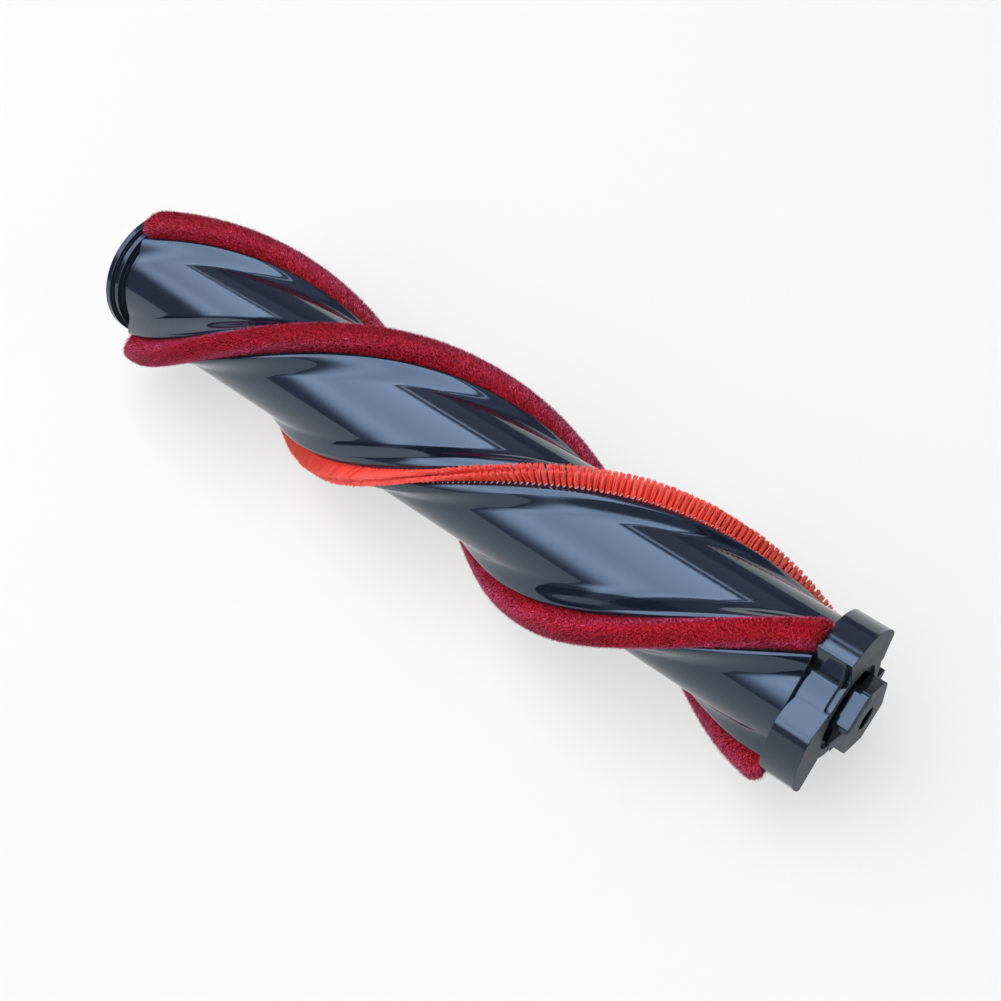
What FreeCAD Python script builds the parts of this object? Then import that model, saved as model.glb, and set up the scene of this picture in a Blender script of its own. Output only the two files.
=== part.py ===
import FreeCAD, Part
import math
import os

# A floor-head roller brush. A hollow core carries three strips that run round it in one left-handed
# turn: two of plush and one of bristle. A lobed cap with a hexagonal dog drives one end, and a bush
# in a flanged cap lets the other end turn on a fixed pin and plug.
# Lengths are millimetres and angles are degrees. Every piece is drawn along its own Z axis and is
# then laid along X: the plug's shoulder is at x = 0 and the drive dog is at the far end.

# Core
core_length = 211.0
core_radius = 16.2
core_bore_radius = 12.6
core_turns = 1.0
first_lobe_angle = 90.0
lobe_count = 3

# Rails that hold the strips in dovetail slots
plush_mouth_width = 7.2
plush_rail_radius = 19.2
bristle_mouth_width = 4.4
bristle_rail_radius = 18.5
rail_lip_width = 1.1
rail_flare_width = 2.9
slot_undercut = 0.6
slot_clearance = 0.08

# Strips
carrier_thickness = 1.2
carrier_recess = 1.0
pile_tip_radius = 24.5
pile_shoulder = 1.5
pile_chamfer = 1.5
bristle_tip_radius = 22.3
tuft_pitch = 1.8
tuft_root_share = 0.62
tuft_tip_share = 0.80
tuft_seat_gap = 0.05
tuft_end_gap = 1.6

# Bearing end cap
flange_radius = 18.2
flange_thickness = 1.6
band_radius = 17.3
band_width = 2.2
groove_radius = 15.9
groove_width = 2.2
spigot_clearance = 0.05

# Bush, pin, plug and what holds them together
pin_radius = 3.0
pin_running_clearance = 0.05
bush_wall = 2.0
bush_length = 14.0
washer_radius = 7.0
washer_thickness = 0.5
end_play = 0.1
plug_radius = 8.0
plug_length = 7.0
plug_flat_share = 0.86
plug_chamfer = 0.8
plug_wall = 2.0
ring_thickness = 0.8
ring_radius = 5.2
ring_groove_depth = 0.6
ring_opening_angle = 70.0
pin_nose = 1.4

# Drive end cap
cap_depth = 8.4
cap_plate = 3.0
waist_radius = 14.2
plush_lobe_rise = 7.1
bristle_lobe_rise = 4.0
shoulder_drop = 2.5
lobe_lead_angle = 16.0
lobe_trail_angle = 8.0
flank_angle = 10.0
waist_end_angle = 43.0
shoulder_angle = 60.0
tip_corner_radius = 1.0
shoulder_corner_radius = 2.5
waist_corner_radius = 1.2
rebate_depth = 1.4
rebate_radial = 1.3
rebate_end_angle = 40.0
face_recess = 1.2
face_recess_radius = 10.6
drive_spigot_length = 9.0
dog_across_flats = 16.0
dog_length = 5.6
dog_corner_reach = 8.9
dog_chamfer = 0.5
dog_bore_radius = 2.9
dog_bore_depth = 9.0

# Places along the roller, worked out from the sizes above
full_turn = 360.0
edge_tolerance = 1e-3
hexagon_sides = 6
lobe_step = full_turn / lobe_count
flange_start = washer_thickness + 2.0 * end_play
core_start = flange_start + flange_thickness + band_width + groove_width
core_end = core_start + core_length
cap_end = core_end + cap_depth
dog_start = cap_end - face_recess
dog_end = dog_start + dog_length
core_pitch = core_length / core_turns
outside = 2.0 * pile_tip_radius
plush_lobe_radius = waist_radius + plush_lobe_rise
bristle_lobe_radius = waist_radius + bristle_lobe_rise
bush_radius = pin_radius + pin_running_clearance + bush_wall
bush_end = flange_start + bush_length

origin = FreeCAD.Vector(0, 0, 0)
along = FreeCAD.Vector(0, 0, 1)
# Local X, Y and Z become Y, Z and X.
lie_down = FreeCAD.Matrix(0, 0, 1, 0, 1, 0, 0, 0, 0, 1, 0, 0, 0, 0, 0, 1)

plush_slot = {"mouth": plush_mouth_width, "rail": plush_rail_radius, "lobe": plush_lobe_radius}
bristle_slot = {"mouth": bristle_mouth_width, "rail": bristle_rail_radius, "lobe": bristle_lobe_radius}
# Strips in order round the core, from the first lobe.
slots = [plush_slot, plush_slot, bristle_slot]
bristle_index = slots.index(bristle_slot)


def lobe_angle(index):
    return first_lobe_angle + index * lobe_step


def polar(radius, angle, height=0.0):
    turn = math.radians(angle)
    return FreeCAD.Vector(radius * math.cos(turn), radius * math.sin(turn), height)


def cylinder(radius, start, end):
    return Part.makeCylinder(radius, end - start, FreeCAD.Vector(0, 0, start), along)


def tube(outer, inner, start, end):
    return cylinder(outer, start, end).cut(cylinder(inner, start, end))


def turned(points):
    # A solid of revolution from (radius, height) points.
    corners = [FreeCAD.Vector(radius, 0, height) for radius, height in points]
    face = Part.Face(Part.makePolygon(corners + corners[:1]))
    return face.revolve(origin, along, full_turn)


def closed(edges):
    return Part.Wire(Part.__sortEdges__(edges))


def twisted(wire):
    # Sweep a section from the start of the core to its end while it turns left-handed.
    start = FreeCAD.Vector(0, 0, core_start)
    end = FreeCAD.Vector(0, 0, core_end)
    helix = Part.makeHelix(core_pitch, core_length, pile_tip_radius, 0, True)
    helix.translate(start)
    shell = Part.BRepOffsetAPI.MakePipeShell(Part.Wire([Part.makeLine(start, end)]))
    shell.setAuxiliarySpine(Part.Wire(helix.Edges), True, 0)
    shell.add(wire)
    shell.build()
    shell.makeSolid()
    return shell.shape()


def section(points):
    # A closed section from (radius, offset) points beside the X axis at the start of the core.
    corners = [FreeCAD.Vector(radius, offset, core_start) for radius, offset in points]
    return Part.makePolygon(corners + corners[:1])


def mirrored(points):
    return points + [(radius, -offset) for radius, offset in reversed(points)]


def at_lobe(shape, index):
    return shape.rotated(origin, along, lobe_angle(index))


def carrier_top(slot):
    return slot["rail"] - carrier_recess


def slot_floor(slot):
    return carrier_top(slot) - carrier_thickness - slot_clearance


def dovetail(slot, clearance):
    # Half width of the slot at a radius: wide at the floor, and the mouth's width at the rail top.
    depth = slot["rail"] - slot_floor(slot)
    half_mouth = 0.5 * slot["mouth"] - clearance

    def half_width(radius):
        return half_mouth + slot_undercut * (slot["rail"] - radius) / depth

    return half_width


def rail(slot):
    # Two flares climb from the core to the lips on either side of the slot's mouth.
    half_lip = 0.5 * slot["mouth"] + rail_lip_width
    half_foot = half_lip + rail_flare_width
    foot_radius = math.sqrt(core_radius ** 2 - half_foot ** 2)
    root = 0.5 * (core_bore_radius + foot_radius)
    crest = math.sqrt(slot["rail"] ** 2 - half_lip ** 2)
    slope = (half_lip - half_foot) / (crest - foot_radius)
    over = slot["rail"] + rail_lip_width
    outline = [(radius, half_lip + slope * (radius - crest)) for radius in (root, over)]
    solid = twisted(section(mirrored(outline)))
    return solid.common(cylinder(slot["rail"], core_start, core_end))


def slot_space(slot):
    half_width = dovetail(slot, 0.0)
    floor = slot_floor(slot)
    over = slot["rail"] + rail_lip_width
    under = floor - rail_lip_width
    solid = twisted(section(mirrored([(under, half_width(under)), (over, half_width(over))])))
    return solid.cut(cylinder(floor, core_start, core_end))


def roller_core():
    solid = cylinder(core_radius, core_start, core_end)
    for index, slot in enumerate(slots):
        solid = solid.fuse(at_lobe(rail(slot), index))
    for index, slot in enumerate(slots):
        solid = solid.cut(at_lobe(slot_space(slot), index))
    return solid.cut(cylinder(core_bore_radius, core_start, core_end))


def carrier(slot):
    # The stiff strip that slides along the dovetail slot.
    half_width = dovetail(slot, slot_clearance)
    floor = slot_floor(slot)
    over = slot["rail"]
    under = floor - rail_lip_width
    solid = twisted(section(mirrored([(under, half_width(under)), (over, half_width(over))])))
    return solid.common(tube(carrier_top(slot), floor + slot_clearance, core_start, core_end))


def plush_pile():
    # The pile stands on its carrier between the lips of the rail, with its free corners worn round.
    half_pile = dovetail(plush_slot, slot_clearance)(plush_rail_radius)
    foot = carrier_top(plush_slot)
    shoulder = pile_tip_radius - pile_shoulder
    outline = [(foot - rail_lip_width, half_pile), (shoulder, half_pile)]
    outline.append((pile_tip_radius + pile_shoulder, half_pile - 2.0 * pile_chamfer))
    solid = twisted(section(mirrored(outline)))
    return solid.common(tube(pile_tip_radius, foot, core_start, core_end))


def tuft(half_width, step, seat):
    # One tuft on the X axis: narrow at its root, and spread at its cut end.
    root = 0.5 * tuft_root_share * step
    tip = 0.5 * tuft_tip_share * step
    height = bristle_tip_radius - seat
    wedge = Part.makeWedge(
        -half_width, 0.0, -root, -tip, -half_width,
        half_width, height, root, tip, half_width)
    # The wedge grows along its Y axis, which is turned to point along X.
    wedge.rotate(origin, along, -90.0)
    wedge.translate(FreeCAD.Vector(seat, 0, 0))
    return wedge


def bristle_tufts():
    # Tufts follow the strip like the teeth of a comb, set square to the way that it runs.
    seat = carrier_top(bristle_slot) + tuft_seat_gap
    slope = math.atan(2.0 * math.pi * bristle_tip_radius / core_pitch)
    half_width = 0.5 * bristle_mouth_width * math.cos(slope) - slot_clearance
    stretch = core_length - 2.0 * tuft_end_gap
    count = int(stretch / tuft_pitch)
    step = stretch / count
    model = tuft(half_width, step / math.cos(slope), seat)
    model.rotate(origin, FreeCAD.Vector(1, 0, 0), math.degrees(slope))
    tufts = []
    for index in range(count):
        run = tuft_end_gap + (index + 0.5) * step
        turn = lobe_angle(bristle_index) - full_turn * run / core_pitch
        placed = model.rotated(origin, along, turn)
        placed.translate(FreeCAD.Vector(0, 0, core_start + run))
        tufts.append(placed)
    return Part.makeCompound(tufts)


def lobed_outline(height):
    # Each lobe rises from the waist to a shoulder, leans on to a tip that covers the end of a rail,
    # and drops off a steep flank to the next waist.
    edges = []
    for index in range(lobe_count):
        middle = lobe_angle(index)
        lead = middle - lobe_lead_angle
        trail = middle + lobe_trail_angle
        foot = trail + flank_angle
        waist_end = middle + waist_end_angle
        shoulder = middle + shoulder_angle
        next_lead = lead + lobe_step
        tip = slots[index]["lobe"]
        next_tip = slots[(index + 1) % lobe_count]["lobe"]
        lean = next_tip - 0.5 * shoulder_drop
        tip_start = polar(tip, lead, height)
        tip_middle = polar(tip, 0.5 * (lead + trail), height)
        tip_end = polar(tip, trail, height)
        waist_start = polar(waist_radius, foot, height)
        waist_middle = polar(waist_radius, 0.5 * (foot + waist_end), height)
        rise_start = polar(waist_radius, waist_end, height)
        rise_end = polar(next_tip - shoulder_drop, shoulder, height)
        lean_middle = polar(lean, 0.5 * (shoulder + next_lead), height)
        lean_end = polar(next_tip, next_lead, height)
        edges.append(Part.Arc(tip_start, tip_middle, tip_end).toShape())
        edges.append(Part.makeLine(tip_end, waist_start))
        edges.append(Part.Arc(waist_start, waist_middle, rise_start).toShape())
        edges.append(Part.makeLine(rise_start, rise_end))
        edges.append(Part.Arc(rise_end, lean_middle, lean_end).toShape())
    return closed(edges)


def upright_edges(shape, radius):
    # Straight edges along Z whose distance from the axis is the radius given.
    found = []
    for edge in shape.Edges:
        first, last = edge.Vertexes[0].Point, edge.Vertexes[-1].Point
        upright = math.hypot(first.x - last.x, first.y - last.y) < edge_tolerance
        if upright and abs(math.hypot(first.x, first.y) - radius) < edge_tolerance:
            found.append(edge)
    return found


def drive_rebate(index):
    # A step in the rim that runs from the flank of a lobe to a rounded end.
    middle = lobe_angle(index)
    start = middle + lobe_trail_angle
    sweep = rebate_end_angle - lobe_trail_angle
    inner = waist_radius - rebate_radial
    floor = cap_end - rebate_depth
    radius = 0.5 * rebate_depth
    ring = Part.makeCylinder(outside, rebate_depth, FreeCAD.Vector(0, 0, floor), along, sweep)
    ring = ring.cut(Part.makeCylinder(inner, rebate_depth, FreeCAD.Vector(0, 0, floor), along))
    ring.rotate(origin, along, start)
    end_centre = polar(inner, middle + rebate_end_angle, floor + radius)
    end_round = Part.makeCylinder(radius, outside, end_centre, polar(1.0, middle + rebate_end_angle))
    return ring.fuse(end_round)


def hexagon(across_flats, height):
    # A hexagon whose corners are in line with the lobes and half way between them.
    corner = across_flats / math.sqrt(3.0)
    step = full_turn / hexagon_sides
    points = [polar(corner, first_lobe_angle + step * index, height) for index in range(hexagon_sides)]
    return Part.makePolygon(points + points[:1])


def drive_dog():
    # A hexagonal dog with turned corners, which narrows at its free end to find its socket.
    shoulder = dog_end - dog_chamfer
    root = dog_start - 0.5 * cap_plate
    shank = Part.Face(hexagon(dog_across_flats, root)).extrude(FreeCAD.Vector(0, 0, shoulder - root))
    narrow = dog_across_flats - 2.0 * dog_chamfer
    nose = Part.makeLoft([hexagon(dog_across_flats, shoulder), hexagon(narrow, dog_end)], True, True)
    return shank.fuse(nose).common(cylinder(dog_corner_reach, root, dog_end))


def lobed_skirt():
    solid = Part.Face(lobed_outline(core_end)).extrude(FreeCAD.Vector(0, 0, cap_depth))
    for tip in (plush_lobe_radius, bristle_lobe_radius):
        solid = solid.makeFillet(tip_corner_radius, upright_edges(solid, tip))
        solid = solid.makeFillet(shoulder_corner_radius, upright_edges(solid, tip - shoulder_drop))
    return solid.makeFillet(waist_corner_radius, upright_edges(solid, waist_radius))


def drive_end_cap():
    solid = lobed_skirt()
    for index in range(lobe_count):
        solid = solid.cut(drive_rebate(index))
    spigot_radius = core_bore_radius - spigot_clearance
    solid = solid.fuse(cylinder(spigot_radius, core_end - drive_spigot_length, core_end + cap_plate))
    solid = solid.cut(cylinder(face_recess_radius, dog_start, cap_end))
    solid = solid.fuse(drive_dog())
    return solid.cut(cylinder(dog_bore_radius, dog_end - dog_bore_depth, dog_end))


def bearing_end_cap():
    spigot_radius = core_bore_radius - spigot_clearance
    flange_end = flange_start + flange_thickness
    band_end = flange_end + band_width
    return turned([
        (bush_radius, flange_start),
        (flange_radius, flange_start),
        (flange_radius, flange_end),
        (band_radius, flange_end),
        (band_radius, band_end),
        (groove_radius, band_end),
        (groove_radius, core_start),
        (spigot_radius, core_start),
        (spigot_radius, bush_end),
        (bush_radius, bush_end),
    ])


def bearing_bush():
    return tube(bush_radius, pin_radius + pin_running_clearance, flange_start, bush_end)


def axle_pin():
    start = plug_wall - plug_length
    groove_start = bush_end + end_play
    groove_end = groove_start + ring_thickness
    end = groove_end + pin_nose
    neck = pin_radius - ring_groove_depth
    return turned([
        (0.0, start),
        (pin_radius, start),
        (pin_radius, groove_start),
        (neck, groove_start),
        (neck, groove_end),
        (pin_radius, groove_end),
        (pin_radius, end),
        (0.0, end),
    ])


def axle_plug():
    # A round plug with one flat, which keeps it from turning in its seat.
    outer = turned([
        (0.0, -plug_length),
        (plug_radius - plug_chamfer, -plug_length),
        (plug_radius, plug_chamfer - plug_length),
        (plug_radius, 0.0),
        (0.0, 0.0),
    ])
    flat = plug_radius * plug_flat_share
    corner = FreeCAD.Vector(-plug_radius, flat, -plug_length)
    spare = Part.makeBox(2.0 * plug_radius, plug_radius, plug_length, corner)
    return outer.cut(spare).cut(cylinder(pin_radius, plug_wall - plug_length, 0.0))


def thrust_washer():
    return tube(washer_radius, pin_radius + pin_running_clearance, end_play, end_play + washer_thickness)


def retaining_ring():
    start = bush_end + end_play
    neck = pin_radius - ring_groove_depth
    ring = tube(ring_radius, neck, start, start + ring_thickness)
    mouth = Part.makeCylinder(
        2.0 * ring_radius, ring_thickness, FreeCAD.Vector(0, 0, start), along, ring_opening_angle)
    return ring.cut(mouth)


def save(name, shape):
    laid = shape.copy()
    laid.transformShape(lie_down)
    laid.exportStep(os.path.join("parts", name + ".step"))


def main():
    os.makedirs("parts", exist_ok=True)
    save("roller_core", roller_core())
    plush_carrier = carrier(plush_slot)
    pile = plush_pile()
    for index, slot in enumerate(slots):
        if slot is plush_slot:
            save("plush_carrier_%d" % (index + 1), at_lobe(plush_carrier, index))
            save("plush_pile_%d" % (index + 1), at_lobe(pile, index))
    save("bristle_carrier", at_lobe(carrier(bristle_slot), bristle_index))
    save("bristle_tufts", bristle_tufts())
    save("drive_end_cap", drive_end_cap())
    save("bearing_end_cap", bearing_end_cap())
    save("bearing_bush", bearing_bush())
    save("axle_pin", axle_pin())
    save("axle_plug", axle_plug())
    save("thrust_washer", thrust_washer())
    save("retaining_ring", retaining_ring())


main()
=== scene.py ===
import math

import bpy
import numpy as np
from bpy.props import FloatProperty, FloatVectorProperty, IntProperty, PointerProperty
from mathutils import Matrix, Vector


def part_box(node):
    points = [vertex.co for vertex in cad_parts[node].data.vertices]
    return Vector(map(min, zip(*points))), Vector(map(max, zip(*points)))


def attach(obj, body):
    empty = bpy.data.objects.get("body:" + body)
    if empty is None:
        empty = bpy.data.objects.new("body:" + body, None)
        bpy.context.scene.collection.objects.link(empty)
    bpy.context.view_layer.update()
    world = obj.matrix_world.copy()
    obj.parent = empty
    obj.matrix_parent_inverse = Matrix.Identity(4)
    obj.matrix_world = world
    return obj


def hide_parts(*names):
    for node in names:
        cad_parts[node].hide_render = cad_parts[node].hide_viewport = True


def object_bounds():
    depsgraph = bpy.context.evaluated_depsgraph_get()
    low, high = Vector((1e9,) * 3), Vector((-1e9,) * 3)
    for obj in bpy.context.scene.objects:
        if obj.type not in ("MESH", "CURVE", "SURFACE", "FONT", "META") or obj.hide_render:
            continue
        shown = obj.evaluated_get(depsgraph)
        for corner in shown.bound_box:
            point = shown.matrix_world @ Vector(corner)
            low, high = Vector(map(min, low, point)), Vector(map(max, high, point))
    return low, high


bl_info = {
    "name": "Vacuum Roller Brush",
    "version": (1, 0, 0),
    "blender": (4, 5, 0),
    "location": "View3D > Sidebar > Roller Brush",
    "description": "Dresses a floor-head roller brush with plush, bristle and moulded finishes",
    "category": "Object",
}

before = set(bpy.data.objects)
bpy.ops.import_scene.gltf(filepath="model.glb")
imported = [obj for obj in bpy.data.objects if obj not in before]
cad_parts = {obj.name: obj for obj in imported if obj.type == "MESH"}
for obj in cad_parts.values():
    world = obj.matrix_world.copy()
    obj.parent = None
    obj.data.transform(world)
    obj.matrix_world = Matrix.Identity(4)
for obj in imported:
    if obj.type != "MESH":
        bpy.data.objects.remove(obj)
solid_low, solid_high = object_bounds()

# Sizes that the dressed pieces take from the solids, in metres.
core_low, core_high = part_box("roller_core")
strip_start = core_low.x
strip_length = core_high.x - core_low.x
pile_tip_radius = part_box("plush_pile_1")[1].z
bristle_tip_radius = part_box("bristle_tufts")[1].z
floor_level = solid_low.z

MM = 0.001
FULL_TURN = 2.0 * math.pi
FIRST_STRIP_ANGLE = 0.5 * math.pi
STRIP_STEP = FULL_TURN / 3.0
BRISTLE_STRIP = 2
LENGTHWISE = np.array([1.0, 0.0, 0.0])

# Core: points round a slot's floor, a lip, a flank and a panel, and how the flank leaves its ends.
FLOOR_POINTS = 5
LIP_POINTS = 5
FLARE_POINTS = 18
PANEL_POINTS = 20
SHOULDER_PULL = 0.35
FOOT_PULL = 0.45
SHARP_ANGLE = math.radians(38.0)

# Outline of the pile: its points, and how square its shoulders and its top are.
ARCH_POINTS = 61
RISE_POINTS = 12
OUTLINE_POINTS = 41
SHOULDER_POWER = 0.62
TOP_POWER = 0.75

# Depth of the pile's body and of the fibre roots under the tips, and the body's unevenness.
BODY_INSET = 0.60 * MM
FIBRE_INSET = 0.70 * MM
BODY_STEPS = 260
BODY_RIPPLE = 0.06 * MM
RIPPLE_HEIGHT = 1.0 * MM

# Ends of the pile: how far they are worn round, and how the fibres stand there.
END_GAP = 0.3 * MM
END_ROUND = 2.2 * MM
END_LEAST = 0.02
END_HEIGHT = 0.55
END_WIDTH = 0.65
END_SPLAY = 1.6
END_LENGTHENING = 0.9
END_BUNDLES = 320
END_RISE = 0.6
END_LEAN = 0.25
END_LENGTHS = (0.6, 1.0)
END_TONE = -0.05

# Fibres of the pile: scatter, direction, length and width.
PLUSH_SEED = 11
BUNDLE_SCATTER = 0.15
OUTLINE_MARGIN = 0.02
BUNDLE_LEAN = 0.14
NORMAL_PULL = 0.75
OUTWARD_PULL = 0.45
FIBRE_LENGTHS = (0.72, 1.08)
FIBRE_WIDTHS = (0.7, 1.2)
ROOT_SCATTER = 0.45
TIP_SCATTER = 0.24
STRAY_SHARE = 0.04
STRAY_REACH = 0.45

# Tone of the fibres, from 0 for painted shade deep in the pile to 1 for a painted sheen at the tips and
# flanks, and what turns their normals.
ROOT_PAINTED_SHADE = 0.25
TIP_SHADE = 0.70
BUNDLE_TONE = 0.11
FIBRE_TONE = 0.09
FLANK_PAINTED_SHEEN = 0.88
TOP_PAINTED_SHADE = -0.10
OUTWARD_SHADE = 0.7
BLADE_SHADE = 0.35

# Tufts of the bristle: where they stand, how far they spread and how uneven they are.
BRISTLE_SEED = 29
BRISTLE_MARGIN = 1.2 * MM
TUFT_JITTER = 0.06 * MM
TUFT_LEAN = 0.6
TUFT_TONE = 0.10
ROW_SPLAY = 1.25
ROOT_SPREAD = 0.78 * MM
TIP_SPREAD = 0.72 * MM
ROOT_DEPTH = 0.38 * MM
TIP_DEPTH = 0.46 * MM
TIP_PROUD = 0.2 * MM
TIP_LIMIT = 0.6 * MM
FILAMENT_RISE = 0.12 * MM
FILAMENT_SIDEWAYS = 0.07 * MM
FILAMENT_LENGTHWISE = 0.04 * MM
FILAMENT_TONE = 0.15
# Painted shading along each filament: painted shade at the root, a painted highlight at the tip.
FILAMENT_PAINTED_SHADE_AND_HIGHLIGHT = (0.30, 0.90)

# Stitches: their height, slant and how far they draw in.
STITCH_HEIGHTS = (0.8, 1.1)
STITCH_SLANT = 0.25
STITCH_DRAW = 0.97

# Rods: taper to the tip, a direction that no rod follows, and the turn of their normals.
ROD_TAPER = 0.85
ROD_REFERENCE = np.array([0.83, 0.31, 0.46])
ROD_SIDE_SHADE = 0.6
ROD_END_SHADE = 0.8

# Finishes: the useful range of a noise, the flow of tone, grain and softened edges.
NOISE_LOW = 0.3
NOISE_HIGH = 0.7
FLOW_LOW = 0.35
FLOW_HIGH = 0.65
DARK_FLOW = 0.85
PALE_FLOW = 1.18
FINE_GRAIN = 0.02 * MM
WOVEN_GRAIN = 0.1 * MM
SOFT_EDGE = 0.3 * MM
BACKING_EDGE = 0.2 * MM
EDGE_SAMPLES = 6

# Weak mirroring of fabric, where a middle colour lies, and the darker tints of uneven colours.
SOFT_SPECULAR = 0.25
MIDDLE_STOP = 0.6
METAL_SHADOW = 0.8
THREAD_SHADOW = 0.7
FLOOR_SHADOW = 0.985

# Glow of the light tent: round it from the far side to the near one, and along it.
TENT_LEVELS = [
    (0.000, 0.05), (0.120, 0.04), (0.160, 0.10), (0.301, 0.10), (0.307, 0.65), (0.320, 0.65),
    (0.326, 0.08), (0.345, 0.10), (0.360, 1.05), (0.500, 0.92), (0.630, 0.82), (0.700, 0.86),
    (0.780, 1.00), (0.830, 0.88), (0.870, 0.70), (0.915, 0.34), (0.960, 0.12), (1.000, 0.06),
]
WINDOW_LEVELS = [(0.170, 0.08), (0.190, 0.75), (0.270, 1.0), (0.560, 1.0), (0.585, 0.08)]
WINDOW_NARROWS = -1.15
NARROWING = 1.25
WINDOW_MIDDLE = 0.55
TENT_RADIUS = 2.0
TENT_HALF_LENGTH = 3.0
TENT_STEPS = 48

# Lamp overhead, camera sensor and nearest view.
LAMP_SIZE = 1.0
LAMP_PLACE = (0.0, -0.25, 1.45)
LAMP_TILT = math.radians(-10.0)
SENSOR_WIDTH = 36.0
NEAREST_VIEW = 0.01

# Faces of the caps that count as ends, by how far they face along the axis, and how matt they are.
END_FACING = 0.95
END_ROUGHNESS = 0.5

# Share of plain white in the floor where it is seen or mirrored.
FLOOR_WHITE = 0.6


class CoreSettings(bpy.types.PropertyGroup):
    """Sizes of the moulded core and its rails."""

    core_radius: FloatProperty(
        name="Core radius", description="Radius of the panels between the rails",
        default=0.0162, unit="LENGTH",
    )
    bore_radius: FloatProperty(
        name="Bore radius", description="Radius of the hollow inside", default=0.0126, unit="LENGTH"
    )
    plush_mouth: FloatProperty(
        name="Plush mouth", description="Width of a plush slot's mouth", default=0.0072, unit="LENGTH"
    )
    plush_rail: FloatProperty(
        name="Plush rail", description="Radius of the rails beside the plush",
        default=0.0192, unit="LENGTH",
    )
    bristle_mouth: FloatProperty(
        name="Bristle mouth", description="Width of the bristle slot's mouth",
        default=0.0044, unit="LENGTH",
    )
    bristle_rail: FloatProperty(
        name="Bristle rail", description="Radius of the rails beside the bristle",
        default=0.0185, unit="LENGTH",
    )
    plush_flare: FloatProperty(
        name="Plush flare", description="Width from a plush slot's mouth to the rail's foot",
        default=0.0043, unit="LENGTH",
    )
    bristle_flare: FloatProperty(
        name="Bristle flare", description="Width from the bristle slot's mouth to the rail's foot",
        default=0.0052, unit="LENGTH",
    )
    slot_depth: FloatProperty(
        name="Slot depth", description="Depth of a slot under the rail's top",
        default=0.00228, unit="LENGTH",
    )
    slot_undercut: FloatProperty(
        name="Slot undercut", description="How far a slot widens to its floor on each side",
        default=0.0006, unit="LENGTH",
    )
    lip_round: FloatProperty(
        name="Lip round", description="Rounding of the edge at the slot's mouth",
        default=0.00025, unit="LENGTH",
    )
    plush_lip: FloatProperty(
        name="Plush lip", description="Width of the lip on top of a rail beside the plush",
        default=0.0011, unit="LENGTH",
    )
    bristle_lip: FloatProperty(
        name="Bristle lip", description="Width of the lip on top of a rail beside the bristle",
        default=0.0025, unit="LENGTH",
    )
    shoulder_tilt: FloatProperty(
        name="Shoulder tilt", description="Slope of the rail's flank where it leaves the lip",
        default=math.radians(45.0), unit="ROTATION",
    )
    foot_tilt: FloatProperty(
        name="Foot tilt", description="Slope of the rail's flank at its foot",
        default=math.radians(46.0), unit="ROTATION",
    )
    core_steps: IntProperty(
        name="Core steps", description="Rings of points along the core", default=220
    )


class PlushSettings(bpy.types.PropertyGroup):
    """Sizes and colours of the two plush strips."""

    foot_radius: FloatProperty(
        name="Foot radius", description="Distance of the backing from the roller's axis",
        default=0.01825, unit="LENGTH",
    )
    half_width: FloatProperty(
        name="Half width", description="Half the width of the pile between the lips of its rail",
        default=0.0033, unit="LENGTH",
    )
    belly: FloatProperty(
        name="Belly", description="How far the pile swells out over the lips",
        default=0.0004, unit="LENGTH",
    )
    crown: FloatProperty(
        name="Crown", description="Height of the rounded top of the pile",
        default=0.0030, unit="LENGTH",
    )
    proud: FloatProperty(
        name="Proud", description="How far the tips stand over the solid pile",
        default=0.0004, unit="LENGTH",
    )
    bundle_size: FloatProperty(
        name="Bundle size", description="Step from one bundle of fibres to the next",
        default=0.00029, unit="LENGTH",
    )
    bundle_fibres: IntProperty(
        name="Bundle fibres", description="Fibres that stand together in a bundle", default=4
    )
    fibre_length: FloatProperty(
        name="Fibre length", description="Length of the loose end of a fibre",
        default=0.0010, unit="LENGTH",
    )
    fibre_width: FloatProperty(
        name="Fibre width", description="Width of a fibre at its root", default=0.00013, unit="LENGTH"
    )
    # Painted shade: the colour deep between the fibres.
    deep_painted_shade_colour: FloatVectorProperty(
        name="Deep colour", description="Colour between the fibres",
        default=(0.37, 0.002, 0.008), subtype="COLOR",
    )
    nap_colour: FloatVectorProperty(
        name="Nap colour", description="Colour of the pile seen from above",
        default=(0.58, 0.003, 0.014), subtype="COLOR",
    )
    # Painted sheen: the paler, pinker colour of the fibre tips and of the pile's flanks.
    tip_painted_highlight_colour: FloatVectorProperty(
        name="Tip colour", description="Colour of the fibre tips",
        default=(1.0, 0.15, 0.32), subtype="COLOR",
    )


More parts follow.
